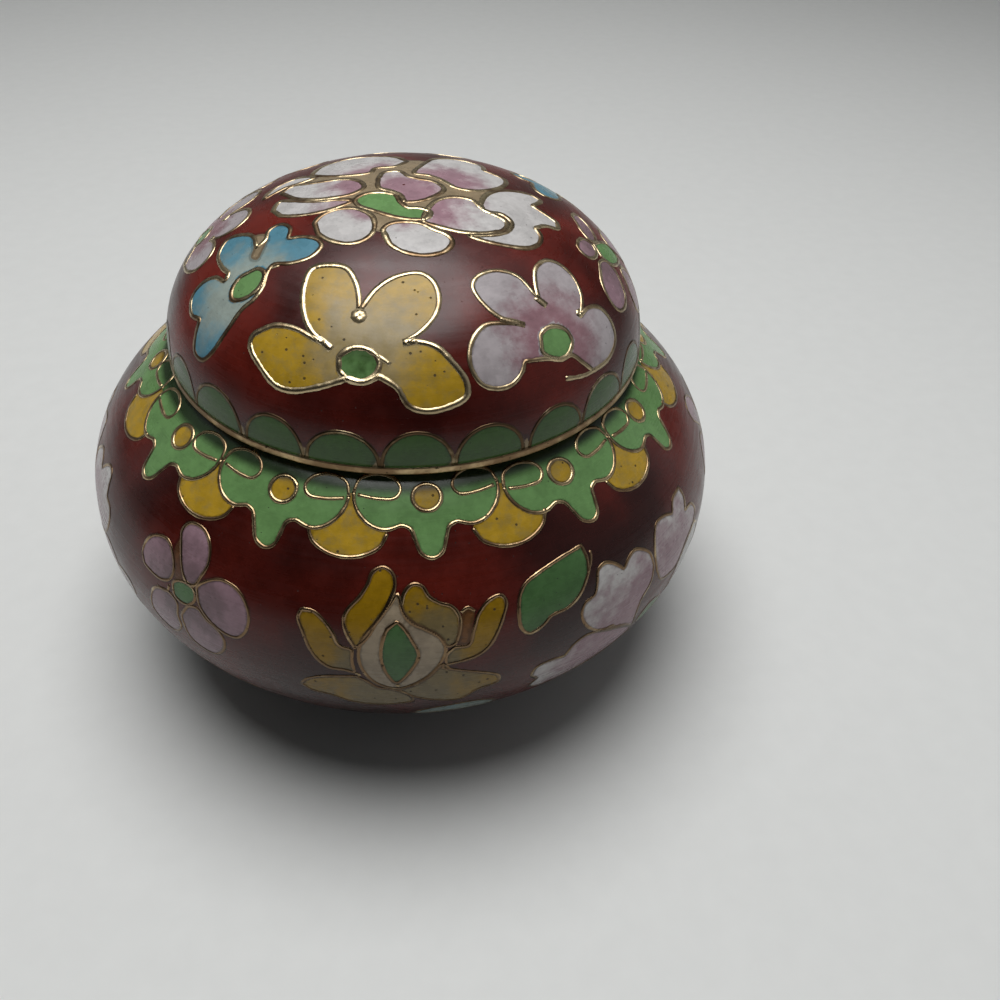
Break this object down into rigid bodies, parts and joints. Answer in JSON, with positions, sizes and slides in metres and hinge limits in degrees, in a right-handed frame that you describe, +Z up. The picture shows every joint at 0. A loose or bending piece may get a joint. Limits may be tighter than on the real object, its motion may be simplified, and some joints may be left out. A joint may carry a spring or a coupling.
{
  "type": "lidded jar",
  "caption": "Squat round enamelled copper jar, hollow, with a domed lift-off lid, flowers between flush gilt wires on dark red, and brass rings at lid edge, mouth and foot.",
  "frame": {"origin": "on the ground under the middle of the jar's body", "axes": "+Z up along the body's axis, -Y towards the picture's camera, +X to the right as seen from there, where the lid has slid a little"},
  "size_m": [0.076, 0.076, 0.058],
  "materials": {
    "enamel": "polished vitreous enamel, dark red-brown ground with coloured flowers between gilt wires",
    "brass": "worn gilt brass, dull and slightly tarnished"
  },
  "bodies": {
    "root": {"jar_body": "enamel", "lid_dome": "enamel", "foot_ring": "brass", "neck_ring": "brass", "lid_rim": "brass"}
  },
  "joints": []
}
